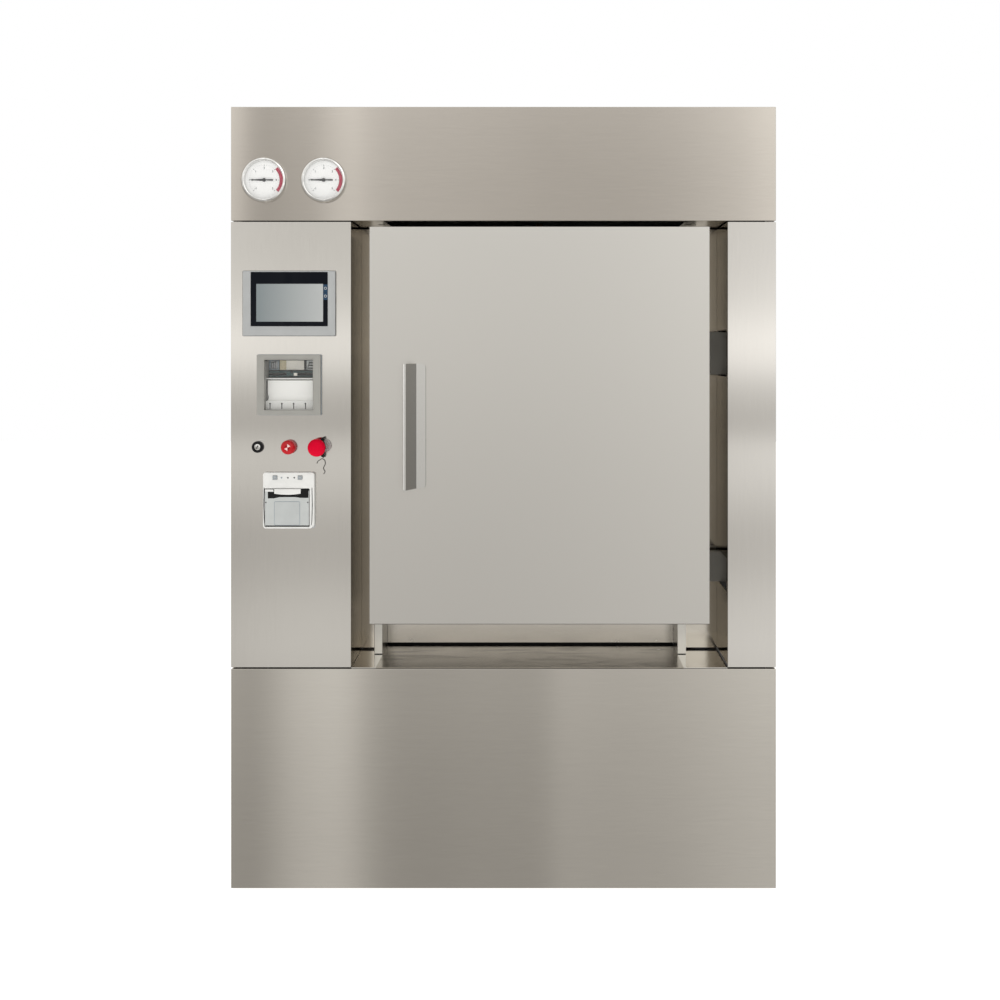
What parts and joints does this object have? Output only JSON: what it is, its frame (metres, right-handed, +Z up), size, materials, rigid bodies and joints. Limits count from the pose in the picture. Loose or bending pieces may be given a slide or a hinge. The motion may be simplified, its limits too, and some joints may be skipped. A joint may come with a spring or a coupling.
{
  "type": "floor-standing steam steriliser",
  "caption": "Floor-standing cabinet steam steriliser with a side-hinged pressure door, dial gauges, control screen, chart recorder and printer.",
  "frame": {"origin": "on the floor, under the middle of the machine's outer box", "axes": "+X to the right as seen from the front, +Y from the front towards the rear, +Z up"},
  "size_m": [1.3, 1.37, 1.868],
  "materials": {
    "brushed_steel": "brushed stainless sheet, fine one-way grain",
    "satin_door": "satin stainless sheet, softer than the cabinet",
    "mill_steel": "plain mill stainless and machined steel",
    "painted_steel": "grey enamel",
    "pump_blue": "blue machine enamel",
    "light_plastic": "fine moulded texture, off-white",
    "grey_plastic": "fine moulded texture, grey",
    "black_plastic": "black moulded plastic",
    "red_plastic": "gloss red moulded plastic",
    "silicone": "pale silicone seal",
    "paper": "thermal paper"
  },
  "bodies": {
    "cabinet": {"chassis_frame": "mill_steel", "levelling_foot_front_left": "mill_steel", "levelling_foot_front_right": "mill_steel", "levelling_foot_rear_left": "mill_steel", "levelling_foot_rear_right": "mill_steel", "header_panel": "brushed_steel", "control_fascia": "brushed_steel", "right_fascia": "brushed_steel", "lower_front_panel": "brushed_steel", "left_side_panel": "brushed_steel", "right_side_panel": "brushed_steel", "top_panel": "brushed_steel", "rear_panel": "brushed_steel", "recess_back_panel": "brushed_steel", "portal_skirt": "brushed_steel", "sill_tray": "brushed_steel", "left_door_post": "brushed_steel", "right_door_post": "brushed_steel", "chamber": "mill_steel", "jacket": "mill_steel", "chamber_flange": "mill_steel", "door_gasket": "silicone", "vessel_cradle": "mill_steel", "loading_rails": "mill_steel", "hinge_post": "mill_steel", "vacuum_pump": "pump_blue", "steam_generator": "mill_steel", "electrical_cabinet": "light_plastic", "drain_pipe": "mill_steel", "steam_pipe": "mill_steel", "air_filter": "mill_steel", "safety_valve": "brushed_steel", "utility_manifold": "brushed_steel", "chamber_gauge_case": "brushed_steel", "jacket_gauge_case": "brushed_steel", "hmi_panel": "grey_plastic", "recorder_case": "light_plastic", "switch_plate": "black_plastic", "printer_bezel": "light_plastic"},
    "door": {"door_skin": "satin_door", "door_plate": "mill_steel", "door_handle": "brushed_steel", "hinge_yoke": "mill_steel", "lock_gearmotor": "painted_steel"},
    "upper_lock": {"upper_lock_bar": "mill_steel"},
    "lower_lock": {"lower_lock_bar": "mill_steel"},
    "lock_gear": {"lock_pinion": "mill_steel"},
    "pump_shaft": {"pump_coupling": "painted_steel"},
    "chamber_needle": {"chamber_gauge_needle": "black_plastic"},
    "jacket_needle": {"jacket_gauge_needle": "black_plastic"},
    "recorder_front": {"recorder_door": "grey_plastic"},
    "pen_carriage": {"recorder_carriage": "black_plastic"},
    "key_rotor": {"key_switch_rotor": "brushed_steel"},
    "stop_plunger": {"stop_button": "red_plastic"},
    "estop_plunger": {"estop_stem": "black_plastic"},
    "estop_head": {"estop_cap": "red_plastic"},
    "printer_power_key": {"printer_power_button": "grey_plastic"},
    "printer_feed_key": {"printer_feed_button": "grey_plastic"},
    "printer_front": {"printer_door": "grey_plastic"},
    "roll": {"paper_roll": "paper"}
  },
  "joints": [
    {"name": "door_swing", "type": "hinge", "parent": "cabinet", "child": "door", "pos_m": [0.59, -0.565, 1], "axis": [0, 0, 1], "range_deg": [0, 110]},
    {"name": "upper_lock_lift", "type": "slide", "parent": "door", "child": "upper_lock", "axis": [0, 0, 1], "range_m": [0, 0.025]},
    {"name": "lower_lock_drop", "type": "slide", "parent": "door", "child": "lower_lock", "axis": [0, 0, -1], "range_m": [0, 0.025]},
    {"name": "lock_gear_turn", "type": "hinge", "parent": "door", "child": "lock_gear", "pos_m": [0.0745, -0.527, 1.109], "axis": [0, 1, 0], "range_deg": [0, 48]},
    {"name": "pump_shaft_spin", "type": "hinge", "parent": "cabinet", "child": "pump_shaft", "pos_m": [0.2, -0.13, 0.26], "axis": [0, 1, 0], "continuous": true},
    {"name": "chamber_needle_turn", "type": "hinge", "parent": "cabinet", "child": "chamber_needle", "pos_m": [-0.57, -0.6306, 1.693], "axis": [0, 1, 0], "range_deg": [-45, 225], "stiffness_Nm_per_rad": 0.002},
    {"name": "jacket_needle_turn", "type": "hinge", "parent": "cabinet", "child": "jacket_needle", "pos_m": [-0.428, -0.6306, 1.693], "axis": [0, 1, 0], "range_deg": [-45, 225], "stiffness_Nm_per_rad": 0.002},
    {"name": "recorder_door_swing", "type": "hinge", "parent": "cabinet", "child": "recorder_front", "pos_m": [-0.5855, -0.634, 1.205], "axis": [0, 0, -1], "range_deg": [0, 110]},
    {"name": "pen_carriage_slide", "type": "slide", "parent": "cabinet", "child": "pen_carriage", "axis": [1, 0, 0], "range_m": [-0.042, 0.042]},
    {"name": "key_turn", "type": "hinge", "parent": "cabinet", "child": "key_rotor", "pos_m": [-0.5855, -0.625, 1.057], "axis": [0, 1, 0], "range_deg": [0, 90]},
    {"name": "stop_press", "type": "slide", "parent": "cabinet", "child": "stop_plunger", "axis": [0, 1, 0], "range_m": [0, 0.005], "stiffness_N_per_m": 800},
    {"name": "estop_press", "type": "slide", "parent": "cabinet", "child": "estop_plunger", "axis": [0, 1, 0], "range_m": [0, 0.006], "stiffness_N_per_m": 1200},
    {"name": "estop_twist", "type": "hinge", "parent": "estop_plunger", "child": "estop_head", "pos_m": [-0.4405, -0.625, 1.057], "axis": [0, 1, 0], "range_deg": [0, 45], "stiffness_Nm_per_rad": 0.05},
    {"name": "printer_power_press", "type": "slide", "parent": "cabinet", "child": "printer_power_key", "axis": [0, 1, 0], "range_m": [0, 0.0012], "stiffness_N_per_m": 400},
    {"name": "printer_feed_press", "type": "slide", "parent": "cabinet", "child": "printer_feed_key", "axis": [0, 1, 0], "range_m": [0, 0.0012], "stiffness_N_per_m": 400},
    {"name": "printer_door_tilt", "type": "hinge", "parent": "cabinet", "child": "printer_front", "pos_m": [-0.511, -0.6345, 0.8745], "axis": [1, 0, 0], "range_deg": [0, 75]},
    {"name": "paper_roll_spin", "type": "hinge", "parent": "cabinet", "child": "roll", "pos_m": [-0.511, -0.589, 0.916], "axis": [1, 0, 0], "continuous": true}
  ],
  "couplings": [
    {"joint": "lower_lock_drop", "follows": "upper_lock_lift", "ratio": 1},
    {"joint": "lock_gear_turn", "follows": "upper_lock_lift", "rad_per_m": 33.333}
  ]
}
